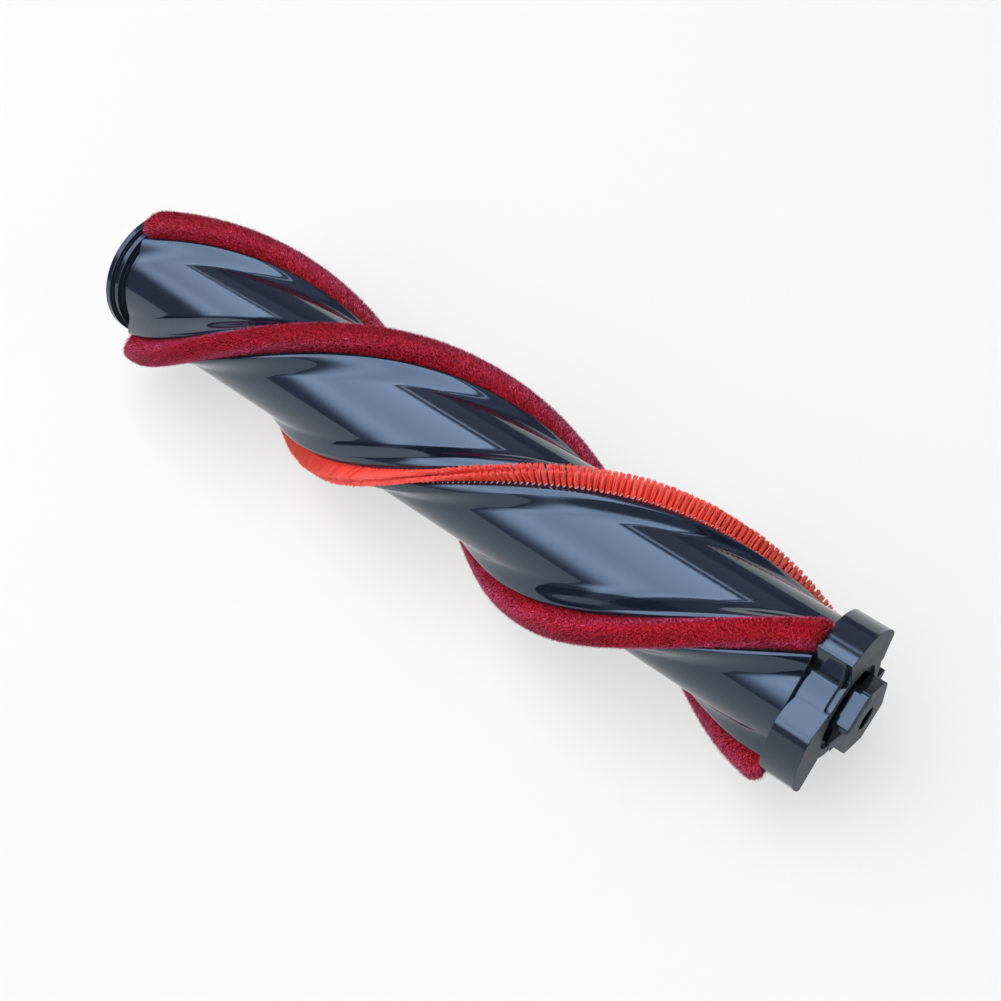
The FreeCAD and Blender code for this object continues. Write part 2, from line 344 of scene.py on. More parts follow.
class BristleSettings(bpy.types.PropertyGroup):
    """Sizes and colours of the bristle strip."""

    seat_radius: FloatProperty(
        name="Seat radius", description="Distance of the tuft roots from the roller's axis",
        default=0.01752, unit="LENGTH",
    )
    pitch: FloatProperty(
        name="Pitch", description="Step from one tuft to the next along the roller",
        default=0.00125, unit="LENGTH",
    )
    row_offset: FloatProperty(
        name="Row offset", description="Distance of each row of tufts from the middle of the strip",
        default=0.00098, unit="LENGTH",
    )
    filaments: IntProperty(
        name="Filaments", description="Filaments in each tuft", default=52
    )
    filament_radius: FloatProperty(
        name="Filament radius", description="Radius of one filament", default=0.000075, unit="LENGTH"
    )
    colour: FloatVectorProperty(
        name="Colour", description="Colour of the filaments",
        default=(1.0, 0.072, 0.037), subtype="COLOR",
    )
    # Painted shade: the darker colour of the filaments down in the strip.
    root_painted_shade_colour: FloatVectorProperty(
        name="Root colour", description="Colour of the filaments down in the strip",
        default=(1.0, 0.052, 0.022), subtype="COLOR",
    )
    # Painted highlight: the paler colour of the filaments' cut ends.
    tip_painted_highlight_colour: FloatVectorProperty(
        name="Tip colour", description="Colour of the cut ends of the filaments",
        default=(1.0, 0.145, 0.10), subtype="COLOR",
    )
    stitch_radius: FloatProperty(
        name="Stitch radius", description="Distance of the stitches from the roller's axis",
        default=0.0179, unit="LENGTH",
    )
    stitch_offset: FloatProperty(
        name="Stitch offset", description="Distance of the stitches from the middle of the strip",
        default=0.0020, unit="LENGTH",
    )
    stitch_length: FloatProperty(
        name="Stitch length", description="Height of one stitch", default=0.0010, unit="LENGTH"
    )
    stitch_thickness: FloatProperty(
        name="Stitch thickness", description="Radius of the thread", default=0.00013, unit="LENGTH"
    )
    stitch_colour: FloatVectorProperty(
        name="Stitch colour", description="Colour of the thread that binds the tufts",
        default=(0.80, 0.62, 0.58), subtype="COLOR",
    )


class MouldingSettings(bpy.types.PropertyGroup):
    """Colours of the moulded and turned pieces."""

    core_colour: FloatVectorProperty(
        name="Core colour", description="Colour of the glossy roller core",
        default=(0.006, 0.008, 0.015), subtype="COLOR",
    )
    cap_colour: FloatVectorProperty(
        name="Cap colour", description="Colour of the end caps and the plug",
        default=(0.005, 0.006, 0.010), subtype="COLOR",
    )
    gloss_index: FloatProperty(
        name="Gloss index", description="Refractive index of the polished plastic", default=1.71
    )
    gloss_tint: FloatVectorProperty(
        name="Gloss tint", description="Tint of what the polished plastic mirrors",
        default=(0.60, 0.84, 1.0), subtype="COLOR",
    )
    backing_colour: FloatVectorProperty(
        name="Backing colour", description="Colour of the stiff strips under the plush and bristle",
        default=(0.030, 0.006, 0.008), subtype="COLOR",
    )


class StageSettings(bpy.types.PropertyGroup):
    """Floor, light and camera."""

    floor_size: FloatProperty(
        name="Floor size", description="Width of the floor", default=8.0, unit="LENGTH"
    )
    floor_colour: FloatVectorProperty(
        name="Floor colour", description="Colour of the floor",
        default=(0.63, 0.615, 0.505), subtype="COLOR",
    )
    sky_level: FloatProperty(
        name="Sky level", description="Brightness of the window in the light tent", default=3.9
    )
    sky_colour: FloatVectorProperty(
        name="Sky colour", description="Colour of the bright side of the light tent",
        default=(0.98, 1.0, 1.26), subtype="COLOR", max=2.0,
    )
    key_power: FloatProperty(
        name="Key power", description="Power of the warm lamp overhead", default=1.3, subtype="POWER"
    )
    key_colour: FloatVectorProperty(
        name="Key colour", description="Colour of the warm lamp overhead",
        default=(1.0, 0.82, 0.60), subtype="COLOR",
    )
    camera_place: FloatVectorProperty(
        name="Camera place", description="Where the camera stands",
        default=(0.2807, -0.1489, 0.2761), unit="LENGTH",
    )
    camera_back: FloatVectorProperty(
        name="Camera back", description="Direction from the roller to the camera",
        default=(0.4335, -0.4212, 0.7966), subtype="DIRECTION",
    )
    camera_up: FloatVectorProperty(
        name="Camera up", description="Direction that is upright in the picture",
        default=(-0.4837, 0.6371, 0.6001), subtype="DIRECTION",
    )
    camera_lens: FloatProperty(
        name="Camera lens", description="Focal length on a sensor 36 mm wide", default=51.35
    )


def strip_angle(run, strip):
    """Angle of a strip's middle, in radians from +Y, at a run from the start of the core."""
    return FIRST_STRIP_ANGLE + strip * STRIP_STEP - FULL_TURN * run / strip_length


def strip_axes(run, strip):
    """Outward and sideways directions of a strip at each run."""
    angle = strip_angle(run, strip)
    zero = np.zeros_like(angle)
    outward = np.stack([zero, np.cos(angle), np.sin(angle)], axis=-1)
    sideways = np.stack([zero, -np.sin(angle), np.cos(angle)], axis=-1)
    return outward, sideways


def strip_points(run, strip, radius, offset):
    """Points at a run along a strip, a distance out from the axis and an offset to the side."""
    outward, sideways = strip_axes(run, strip)
    points = radius[..., None] * outward + offset[..., None] * sideways
    points[..., 0] += strip_start + run
    return points


def unit(vectors):
    return vectors / np.linalg.norm(vectors, axis=-1, keepdims=True)


def add_object(name, data):
    thing = bpy.data.objects.new(name, data)
    bpy.context.scene.collection.objects.link(thing)
    return thing


def add_mesh(name, points, faces, material):
    mesh = bpy.data.meshes.new(name)
    mesh.from_pydata(points, [], faces)
    mesh.materials.append(material)
    return add_object(name, mesh)


def add_piece(name, points, faces, material):
    """A smooth piece that turns with the roller."""
    piece = add_mesh(name, points, faces, material)
    polygons = piece.data.polygons
    polygons.foreach_set("use_smooth", np.ones(len(polygons), dtype=bool))
    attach(piece, "roller")
    return piece


def add_shade(mesh, name, values):
    attribute = mesh.attributes.new(name, "FLOAT", "POINT")
    attribute.data.foreach_set("value", values.astype(np.float32))


def downhill(tilt):
    """Direction down a slope, as (outward, sideways)."""
    return np.array([-math.sin(tilt), math.cos(tilt)])


def rail_profile(settings, mouth, rail_radius, lip, width):
    """One side of a rail, from the middle of its slot to its foot, as (outward, sideways) points."""
    half_mouth = 0.5 * mouth
    floor_radius = rail_radius - settings.slot_depth
    floor_side = np.linspace(0.0, half_mouth + settings.slot_undercut, FLOOR_POINTS)
    floor_out = np.sqrt(floor_radius ** 2 - floor_side ** 2)
    crest = math.sqrt(rail_radius ** 2 - half_mouth ** 2)
    soft = settings.lip_round
    turn = np.linspace(0.0, 0.5 * math.pi, LIP_POINTS)
    lip_side = half_mouth + soft * (1.0 - np.cos(turn))
    lip_out = crest - soft + soft * np.sin(turn)
    shoulder_side = half_mouth + lip
    foot_side = half_mouth + width
    first = np.array([math.sqrt(rail_radius ** 2 - shoulder_side ** 2), shoulder_side])
    last = np.array([math.sqrt(settings.core_radius ** 2 - foot_side ** 2), foot_side])
    chord = np.linalg.norm(last - first)
    guide_one = first + SHOULDER_PULL * chord * downhill(settings.shoulder_tilt)
    guide_two = last - FOOT_PULL * chord * downhill(settings.foot_tilt)
    share = np.linspace(0.0, 1.0, FLARE_POINTS)[:, None]
    rest = 1.0 - share
    flare = rest ** 3 * first + 3.0 * rest ** 2 * share * guide_one
    flare = flare + 3.0 * rest * share ** 2 * guide_two + share ** 3 * last
    outward = np.concatenate([floor_out, lip_out, flare[:, 0]])
    sideways = np.concatenate([floor_side, lip_side, flare[:, 1]])
    return outward, sideways


def core_outline(settings):
    """Radius and angle of points round the core at its start, in order of angle."""
    radii, angles = [], []
    plush_rail = (settings.plush_mouth, settings.plush_rail, settings.plush_lip, settings.plush_flare)
    bristle_rail = (
        settings.bristle_mouth, settings.bristle_rail, settings.bristle_lip, settings.bristle_flare
    )
    rails = [plush_rail] * BRISTLE_STRIP + [bristle_rail]
    feet = []
    for strip, rail in enumerate(rails):
        outward, sideways = rail_profile(settings, *rail)
        outward = np.concatenate([outward[:0:-1], outward])
        sideways = np.concatenate([-sideways[:0:-1], sideways])
        radii.append(np.hypot(outward, sideways))
        angles.append(strip_angle(0.0, strip) + np.arctan2(sideways, outward))
        feet.append((angles[-1][0], angles[-1][-1]))
    for strip in range(len(rails)):
        start = feet[strip][1]
        end = feet[(strip + 1) % len(rails)][0]
        if end < start:
            end += FULL_TURN
        panel = np.linspace(start, end, PANEL_POINTS)[1:-1]
        radii.insert(2 * strip + 1, np.full(len(panel), settings.core_radius))
        angles.insert(2 * strip + 1, panel)
    return np.concatenate(radii), np.concatenate(angles)


def swept_core(settings):
    """The outline turned along the core, a bore, and the two end faces: points and quads."""
    radius, angle = core_outline(settings)
    run = np.linspace(0.0, strip_length, settings.core_steps)
    turned = angle[None, :] - FULL_TURN * run[:, None] / strip_length
    place = np.repeat(strip_start + run[:, None], len(angle), axis=1)
    outer = np.stack([place, radius * np.cos(turned), radius * np.sin(turned)], axis=-1)
    bore = np.stack(
        [place, settings.bore_radius * np.cos(turned), settings.bore_radius * np.sin(turned)], axis=-1
    )[[0, -1]]
    rows, columns = turned.shape
    grid = np.arange(rows * columns).reshape(rows, columns)
    inside = rows * columns + np.arange(2 * columns).reshape(2, columns)
    rings = [*grid, inside[1], inside[0], grid[0]]
    quads = []
    for low, high in zip(rings[:-1], rings[1:]):
        quads.append(np.stack([low, np.roll(low, -1), np.roll(high, -1), high], axis=-1))
    points = np.concatenate([outer.reshape(-1, 3), bore.reshape(-1, 3)])
    return points, np.concatenate(quads)


def pile_outline(settings, inset):
    """Radius, offset and normal of evenly spaced points round the pile, from one foot to the other."""
    foot = settings.foot_radius
    half = settings.half_width - inset
    middle = pile_tip_radius + settings.proud - inset - settings.crown
    turn = np.linspace(0.0, math.pi, ARCH_POINTS)
    swell = half + settings.belly
    arch_offset = swell * np.sign(np.cos(turn)) * np.abs(np.cos(turn)) ** SHOULDER_POWER
    arch_radius = middle + settings.crown * np.sin(turn) ** TOP_POWER
    rise = np.linspace(foot, middle, RISE_POINTS)[:-1]
    rise_offset = half + settings.belly * np.clip((rise - foot) / (middle - foot), 0.0, 1.0) ** 2
    radius = np.concatenate([rise, arch_radius, rise[::-1]])
    offset = np.concatenate([rise_offset, arch_offset, -rise_offset[::-1]])
    steps = np.hypot(np.diff(radius), np.diff(offset))
    reach = np.concatenate([[0.0], np.cumsum(steps)]) / np.sum(steps)
    even = np.linspace(0.0, 1.0, OUTLINE_POINTS)
    radius, offset = np.interp(even, reach, radius), np.interp(even, reach, offset)
    slope_radius, slope_offset = np.gradient(radius), np.gradient(offset)
    size = np.hypot(slope_radius, slope_offset)
    return radius, offset, -slope_offset / size, slope_radius / size


def end_taper(run):
    """One along the strip, and less near its ends, which are worn round."""
    near = np.minimum(run, strip_length - run)
    share = np.clip(near / END_ROUND, 0.0, 1.0)
    return np.sqrt(np.clip(1.0 - (1.0 - share) ** 2, END_LEAST, 1.0))


def tapered(settings, radius, offset, taper):
    """Radius and offset of points of the pile, drawn in towards its ends."""
    foot = settings.foot_radius
    low = foot + (radius - foot) * (END_HEIGHT + (1.0 - END_HEIGHT) * taper)
    return low, offset * (END_WIDTH + (1.0 - END_WIDTH) * taper)


def outline_spot(settings, radius, offset, place, taper):
    """Radius and offset at places round an outline, drawn in towards the ends."""
    index = np.arange(len(radius))
    return tapered(settings, np.interp(place, index, radius), np.interp(place, index, offset), taper)


def pile_body(settings, strip, random):
    """The dense inside of the pile: points, quads and end faces of a long rounded loaf."""
    radius, offset, _, _ = pile_outline(settings, BODY_INSET)
    run = np.linspace(END_GAP, strip_length - END_GAP, BODY_STEPS)
    radii, offsets = tapered(settings, radius[None, :], offset[None, :], end_taper(run)[:, None])
    uneven = radius > settings.foot_radius + RIPPLE_HEIGHT
    radii = radii + random.normal(0.0, BODY_RIPPLE, radii.shape) * uneven
    runs = np.repeat(run[:, None], len(radius), axis=1)
    points = strip_points(runs, strip, radii, offsets)
    rows, columns = radii.shape
    first = np.arange(rows * columns).reshape(rows, columns)
    quads = np.stack(
        [first[:-1, :-1], first[:-1, 1:], first[1:, 1:], first[1:, :-1]], axis=-1
    ).reshape(-1, 4)
    ends = [first[0, ::-1], first[-1, :]]
    return points.reshape(-1, 3), quads, ends


def pile_bundles(settings, strip, random):
    """Root, tip, normal and tone of small bundles of fibres all over the pile; the tone paints a sheen on
    the flanks, fading to painted shade at the foot, and painted shade on the top.
    """
    radius, offset, normal_radius, normal_offset = pile_outline(settings, FIBRE_INSET)
    girth = np.sum(np.hypot(np.diff(radius), np.diff(offset)))
    rows = int(strip_length / settings.bundle_size)
    columns = int(girth / settings.bundle_size)
    row, column = np.divmod(np.arange(rows * columns), columns)
    along, around = random.uniform(-BUNDLE_SCATTER, 1.0 + BUNDLE_SCATTER, (2, rows * columns))
    run = np.clip((row + along) / rows, 0.0, 1.0) * strip_length
    place = np.clip((column + around) / columns, OUTLINE_MARGIN, 1.0 - OUTLINE_MARGIN) * (len(radius) - 1)
    index = np.arange(len(radius))
    taper = end_taper(run)
    root_radius, root_offset = outline_spot(settings, radius, offset, place, taper)
    outward, sideways = strip_axes(run, strip)
    flat_normal = (
        np.interp(place, index, normal_radius)[:, None] * outward
        + np.interp(place, index, normal_offset)[:, None] * sideways
    )
    splay = (1.0 - taper) * np.sign(run - 0.5 * strip_length)
    normal = unit(flat_normal + END_SPLAY * splay[:, None] * LENGTHWISE)
    lean = random.normal(0.0, BUNDLE_LEAN, (len(run), 3))
    direction = unit(NORMAL_PULL * normal + OUTWARD_PULL * outward + lean)
    length = settings.fibre_length * random.uniform(*FIBRE_LENGTHS, len(run))
    length = length * (1.0 + END_LENGTHENING * (1.0 - taper))
    root = strip_points(run, strip, root_radius, root_offset)
    # Painted sheen: the flanks are paler and pinker, fading towards the foot as painted shade by the
    # rail; the top stays darker as painted shade.
    flank = 1.0 - np.abs(np.sum(flat_normal * outward, axis=-1))
    rise = (root_radius - settings.foot_radius) / (pile_tip_radius - settings.foot_radius)
    tone = random.normal(0.0, BUNDLE_TONE, len(run)) + TOP_PAINTED_SHADE
    tone = tone + FLANK_PAINTED_SHEEN * flank * np.clip(rise, 0.0, 1.0)
    shading = unit(normal + OUTWARD_SHADE * outward)
    return root, root + direction * length[:, None], shading, tone


def end_bundles(settings, strip, random):
    """Root, tip, normal and tone of the bundles on the two ends of the pile."""
    radius, offset, _, _ = pile_outline(settings, BODY_INSET)
    side = np.repeat([-1.0, 1.0], END_BUNDLES)
    run = np.where(side < 0.0, END_GAP, strip_length - END_GAP)
    place = random.uniform(0.0, len(radius) - 1.0, len(run))
    share = np.sqrt(random.random(len(run)))
    rim_radius, rim_offset = outline_spot(settings, radius, offset, place, end_taper(run))
    root_radius = settings.foot_radius + share * (rim_radius - settings.foot_radius)
    root = strip_points(run, strip, root_radius, share * rim_offset)
    outward, _ = strip_axes(run, strip)
    endwise = side[:, None] * LENGTHWISE
    direction = unit(endwise + END_RISE * outward + random.normal(0.0, END_LEAN, (len(run), 3)))
    length = settings.fibre_length * random.uniform(*END_LENGTHS, len(run))
    tone = random.normal(0.0, BUNDLE_TONE, len(run)) + END_TONE
    shading = unit(endwise + OUTWARD_SHADE * outward)
    return root, root + direction * length[:, None], shading, tone


def pile_fibres(settings, strip, random):
    """Loose fibre ends over the pile: slender triangles that take the normals of the pile."""
    sides = pile_bundles(settings, strip, random)
    ends = end_bundles(settings, strip, random)
    root, tip, normal, tone = [np.concatenate(pair) for pair in zip(sides, ends)]
    bundle = np.repeat(np.arange(len(root)), settings.bundle_fibres)
    count = len(bundle)
    roots = root[bundle] + random.normal(0.0, ROOT_SCATTER * settings.bundle_size, (count, 3))
    tips = tip[bundle] + random.normal(0.0, TIP_SCATTER * settings.bundle_size, (count, 3))
    stray = random.random((count, 1)) < STRAY_SHARE
    tips = np.where(stray, tips + STRAY_REACH * (tips - roots), tips)
    direction = unit(tips - roots)
    across = unit(np.cross(direction, random.normal(size=(count, 3))))
    half = across * (0.5 * settings.fibre_width * random.uniform(*FIBRE_WIDTHS, count))[:, None]
    points = np.stack([roots - half, roots + half, tips], axis=1)
    triangles = np.arange(3 * count).reshape(-1, 3)
    blade_normal = unit(np.cross(direction, across))
    facing = np.sign(np.sum(blade_normal * normal[bundle], axis=-1, keepdims=True))
    normals = unit(normal[bundle] + BLADE_SHADE * blade_normal * facing)
    normals = np.repeat(normals[:, None, :], 3, axis=1)
    tones = tone[bundle] + random.normal(0.0, FIBRE_TONE, count)
    # Painted shading: each fibre is darker at its root as painted shade deep in the pile, paler at its
    # tip.
    painted_shading = np.clip(np.array([[ROOT_PAINTED_SHADE, ROOT_PAINTED_SHADE, TIP_SHADE]]) + tones[:, None], 0.0, 1.0)
    return points.reshape(-1, 3), triangles, normals.reshape(-1, 3), painted_shading.reshape(-1)


def tuft_runs(settings):
    """Run of every tuft along the bristle strip."""
    tufts = int((strip_length - 2.0 * BRISTLE_MARGIN) / settings.pitch)
    return np.linspace(BRISTLE_MARGIN, strip_length - BRISTLE_MARGIN, tufts)


def bristle_points(run, radius, offset, along):
    """Points of the bristle strip, with the offset square to its slant and a shift along it."""
    slope = math.atan(FULL_TURN * bristle_tip_radius / strip_length)
    side = offset * math.cos(slope) + along * math.sin(slope)
    shift = offset * math.sin(slope) - along * math.cos(slope)
    return strip_points(run - shift, BRISTLE_STRIP, radius, -side)


def tuft_filaments(settings, random):
    """Root and tip of every filament in the two rows of tufts."""
    tuft_run = tuft_runs(settings)
    tufts = len(tuft_run)
    run = np.repeat(np.repeat(tuft_run, 2), settings.filaments)
    row = np.repeat(np.tile([-1.0, 1.0], tufts), settings.filaments)
    count = len(run)
    spot = np.sqrt(random.random(count))
    turn = random.uniform(0.0, FULL_TURN, count)
    across = spot * np.cos(turn)
    lengthwise = spot * np.sin(turn)
    tuft_height, tuft_side, tuft_along = np.repeat(
        random.normal(0.0, TUFT_JITTER, (3, 2 * tufts)), settings.filaments, axis=1
    )
    seat = np.full(count, settings.seat_radius)
    height = bristle_tip_radius + TIP_PROUD + tuft_height + random.normal(0.0, FILAMENT_RISE, count)
    height = np.minimum(height, bristle_tip_radius + TIP_LIMIT)
    root_offset = row * settings.row_offset + across * ROOT_SPREAD
    tip_offset = row * settings.row_offset * ROW_SPLAY + across * TIP_SPREAD + tuft_side
    tip_offset = tip_offset + random.normal(0.0, FILAMENT_SIDEWAYS, count)
    tip_along = lengthwise * TIP_DEPTH + TUFT_LEAN * tuft_along
    tip_along = tip_along + random.normal(0.0, FILAMENT_LENGTHWISE, count)
    roots = bristle_points(run, seat, root_offset, lengthwise * ROOT_DEPTH)
    return roots, bristle_points(run, height, tip_offset, tip_along)


def painted_filament_shading(settings, count, random):
    """Tone at both ends of every filament, which differs from tuft to tuft: painted shade at the root and
    a painted highlight at the tip.
    """
    tuft_tone = np.repeat(random.normal(0.0, TUFT_TONE, count // settings.filaments), settings.filaments)
    tone = (tuft_tone + random.uniform(-FILAMENT_TONE, FILAMENT_TONE, count))[:, None]
    painted_shading = np.repeat(np.array([FILAMENT_PAINTED_SHADE_AND_HIGHLIGHT]), 4, axis=1) + tone
    return np.clip(painted_shading, 0.0, 1.0).reshape(-1)


def add_rods(name, roots, tips, radius, material):
    """A piece of square rods with cut ends and softened normals."""
    along = unit(tips - roots)
    side = unit(np.cross(along, ROD_REFERENCE))
    other = np.cross(along, side)
    corners = [side, other, -side, -other]
    low = np.stack([roots + radius * corner for corner in corners], axis=1)
    high = np.stack([tips + ROD_TAPER * radius * corner for corner in corners], axis=1)
    points = np.concatenate([low, high], axis=1)
    normals = np.stack(
        [unit(ROD_SIDE_SHADE * corner + ROD_END_SHADE * along) for corner in corners * 2], axis=1
    )
    base = np.arange(len(roots))[:, None] * 8
    faces = [base + [k, (k + 1) % 4, 4 + (k + 1) % 4, 4 + k] for k in range(4)]
    faces.append(base + [4, 5, 6, 7])
    piece = add_piece(name, points.reshape(-1, 3), np.concatenate(faces), material)
    piece.data.normals_split_custom_set_from_vertices(normals.reshape(-1, 3))
    return piece


def new_material(name):
    material = bpy.data.materials.new(name)
    material.use_nodes = True
    tree = material.node_tree
    return material, tree, tree.nodes["Principled BSDF"]


def set_inputs(node, values):
    for name, value in values.items():
        node.inputs[name].default_value = value


def coordinates(tree, kind):
    """X, Y and Z sockets of one kind of texture coordinate."""
    place = tree.nodes.new("ShaderNodeTexCoord")
    parts = tree.nodes.new("ShaderNodeSeparateXYZ")
    tree.links.new(place.outputs[kind], parts.inputs["Vector"])
    return parts.outputs


def noise(tree, scale, detail):
    place = tree.nodes.new("ShaderNodeTexCoord")
    texture = tree.nodes.new("ShaderNodeTexNoise")
    set_inputs(texture, {"Scale": scale, "Detail": detail})
    tree.links.new(place.outputs["Object"], texture.inputs["Vector"])
    return texture.outputs["Fac"]


def attribute(tree, name):
    node = tree.nodes.new("ShaderNodeAttribute")
    node.attribute_name = name
    return node.outputs["Fac"]


def ramp(tree, value, stops):
    node = tree.nodes.new("ShaderNodeValToRGB")
    elements = node.color_ramp.elements
    while len(elements) < len(stops):
        elements.new(0.5)
    for element, (position, colour) in zip(elements, stops):
        element.position = position
        element.color = (*colour, 1.0)
    tree.links.new(value, node.inputs["Fac"])
    return node.outputs["Color"]


def spread(tree, value, low, high):
    """A noise value spread from low to high."""
    node = tree.nodes.new("ShaderNodeMapRange")
    set_inputs(node, {"From Min": NOISE_LOW, "From Max": NOISE_HIGH, "To Min": low, "To Max": high})
    tree.links.new(value, node.inputs["Value"])
    return node.outputs["Result"]


def bump(tree, height, distance, strength, soft_edge=0.0):
    node = tree.nodes.new("ShaderNodeBump")
    set_inputs(node, {"Distance": distance, "Strength": strength})
    tree.links.new(height, node.inputs["Height"])
    if soft_edge:
        edge = tree.nodes.new("ShaderNodeBevel")
        edge.samples = EDGE_SAMPLES
        set_inputs(edge, {"Radius": soft_edge})
        tree.links.new(edge.outputs["Normal"], node.inputs["Normal"])
    return node.outputs["Normal"]


def calculate(tree, operation, *values):
    """A Math node on sockets or plain numbers."""
    node = tree.nodes.new("ShaderNodeMath")
    node.operation = operation
    for socket, value in zip(node.inputs, values):
        if isinstance(value, float):
            socket.default_value = value
        else:
            tree.links.new(value, socket)
    return node.outputs["Value"]


def tinted(colour, factor):
    return tuple(channel * factor for channel in colour)


def give_sheen(shader, weight, roughness, tint):
    sheen = {"Sheen Weight": weight, "Sheen Roughness": roughness, "Sheen Tint": (*tint, 1.0)}
    set_inputs(shader, {"Specular IOR Level": SOFT_SPECULAR, **sheen})


def moulded_plastic(name, colour, rough_low, rough_high, grain, soft_edge):
    """Moulded plastic with a faint flow of tone, fine grain and softened edges."""
    material, tree, shader = new_material(name)
    flow = noise(tree, scale=45.0, detail=3.0)
    stops = [(FLOW_LOW, tinted(colour, DARK_FLOW)), (FLOW_HIGH, tinted(colour, PALE_FLOW))]
    tree.links.new(ramp(tree, flow, stops), shader.inputs["Base Color"])
    wear = noise(tree, scale=260.0, detail=5.0)
    tree.links.new(spread(tree, wear, rough_low, rough_high), shader.inputs["Roughness"])
    peel = noise(tree, scale=1100.0, detail=2.0)
    tree.links.new(
        bump(tree, peel, distance=grain, strength=0.25, soft_edge=soft_edge), shader.inputs["Normal"]
    )
    return material, shader


def polished(name, colour, settings, rough_low, rough_high):
    """Polished black plastic that takes on the blue of the sky."""
    material, shader = moulded_plastic(name, colour, rough_low, rough_high, FINE_GRAIN, SOFT_EDGE)
    set_inputs(shader, {"IOR": settings.gloss_index, "Specular Tint": (*settings.gloss_tint, 1.0)})
    return material, shader


def glossy_cap(settings):
    """The same plastic for the caps and the plug, with matt faces at the ends."""
    material, shader = polished(
        "gloss_cap", settings.cap_colour, settings, rough_low=0.06, rough_high=0.12
    )
    tree = material.node_tree
    facing = calculate(tree, "ABSOLUTE", coordinates(tree, "Normal")["X"])
    matt = calculate(tree, "GREATER_THAN", facing, END_FACING)
    roughness = shader.inputs["Roughness"]
    polish = roughness.links[0].from_socket
    tree.links.new(calculate(tree, "MULTIPLY_ADD", matt, END_ROUGHNESS, polish), roughness)
    return material


def strip_backing(settings):
    """Woven backing, seen only between the fibres and at the strip ends."""
    material, shader = moulded_plastic(
        "strip_backing", settings.backing_colour, rough_low=0.55, rough_high=0.75,
        grain=WOVEN_GRAIN, soft_edge=BACKING_EDGE,
    )
    set_inputs(shader, {"Sheen Weight": 0.2})
    return material


def turned_metal(name, colour, rough_low, rough_high):
    """Machined metal with an uneven polish."""
    material, tree, shader = new_material(name)
    flow = noise(tree, scale=700.0, detail=4.0)
    stops = [(NOISE_LOW, tinted(colour, METAL_SHADOW)), (NOISE_HIGH, colour)]
    tree.links.new(ramp(tree, flow, stops), shader.inputs["Base Color"])
    tree.links.new(spread(tree, flow, rough_low, rough_high), shader.inputs["Roughness"])
    set_inputs(shader, {"Metallic": 1.0})
    return material


def plush_fibre(settings):
    """Cut pile: painted shade between the fibres, a painted sheen at the tips and on the flanks, and a
    soft shader sheen.
    """
    material, tree, shader = new_material("plush_fibre")
    patches = noise(tree, scale=130.0, detail=2.0)
    drift = spread(tree, patches, low=-0.05, high=0.05)
    # Painted shade and sheen from the fibres' attribute, with random patches of tone.
    painted_shading = calculate(tree, "ADD", attribute(tree, "pile_painted_shading"), drift)
    stops = [(0.0, settings.deep_painted_shade_colour), (MIDDLE_STOP, settings.nap_colour), (1.0, settings.tip_painted_highlight_colour)]
    tree.links.new(ramp(tree, painted_shading, stops), shader.inputs["Base Color"])
    tree.links.new(spread(tree, patches, low=0.62, high=0.80), shader.inputs["Roughness"])
    give_sheen(shader, weight=0.8, roughness=0.45, tint=(1.0, 0.28, 0.42))
    return material


def bristle_filament(settings):
    """Extruded filament with small differences of colour from one to the next, painted shade at the roots
    and a painted highlight at the cut ends.
    """
    material, tree, shader = new_material("bristle_filament")
    stops = [(0.0, settings.root_painted_shade_colour), (MIDDLE_STOP, settings.colour), (1.0, settings.tip_painted_highlight_colour)]
    tree.links.new(ramp(tree, attribute(tree, "filament_painted_shading"), stops), shader.inputs["Base Color"])
    wear = noise(tree, scale=900.0, detail=2.0)
    tree.links.new(spread(tree, wear, low=0.32, high=0.48), shader.inputs["Roughness"])
    give_sheen(shader, weight=0.5, roughness=0.5, tint=(1.0, 0.30, 0.20))
    return material


def binding_thread(settings):
    """Pale twisted thread."""
    material, tree, shader = new_material("binding_thread")
    twist = noise(tree, scale=2600.0, detail=2.0)
    colour = settings.stitch_colour
    stops = [(NOISE_LOW, tinted(colour, THREAD_SHADOW)), (NOISE_HIGH, colour)]
    tree.links.new(ramp(tree, twist, stops), shader.inputs["Base Color"])
    tree.links.new(bump(tree, twist, distance=WOVEN_GRAIN, strength=0.5), shader.inputs["Normal"])
    set_inputs(shader, {"Roughness": 0.8})
    return material


class ROLLER_OT_mouldings(bpy.types.Operator):
    """Give the core, caps, backing strips and bearing pieces their finishes"""

    bl_idname = "roller.mouldings"
    bl_label = "Finish Mouldings"

    def execute(self, context):
        settings = context.scene.roller_mouldings
        cap = glossy_cap(settings)
        backing = strip_backing(settings)
        bronze = turned_metal("sintered_bronze", (0.45, 0.26, 0.12), rough_low=0.30, rough_high=0.45)
        steel = turned_metal("bright_steel", (0.55, 0.56, 0.58), rough_low=0.18, rough_high=0.32)
        finishes = [
            (cap, ("drive_end_cap", "bearing_end_cap", "axle_plug")),
            (backing, ("plush_carrier_1", "plush_carrier_2", "bristle_carrier")),
            (bronze, ("bearing_bush",)),
            (steel, ("axle_pin", "thrust_washer", "retaining_ring")),
        ]
        for material, nodes in finishes:
            for node in nodes:
                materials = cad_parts[node].data.materials
                materials.clear()
                materials.append(material)
        return {"FINISHED"}


class ROLLER_OT_core(bpy.types.Operator):
    """Sweep the glossy core with its rounded rails"""

    bl_idname = "roller.core"
    bl_label = "Sweep Core"

    def execute(self, context):
        points, quads = swept_core(context.scene.roller_core)
        finish = context.scene.roller_mouldings
        material, _ = polished("gloss_core", finish.core_colour, finish, rough_low=0.05, rough_high=0.10)
        piece = add_piece("core_moulding", points, quads, material)
        piece.data.set_sharp_from_angle(angle=SHARP_ANGLE)
        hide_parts("roller_core")
        return {"FINISHED"}


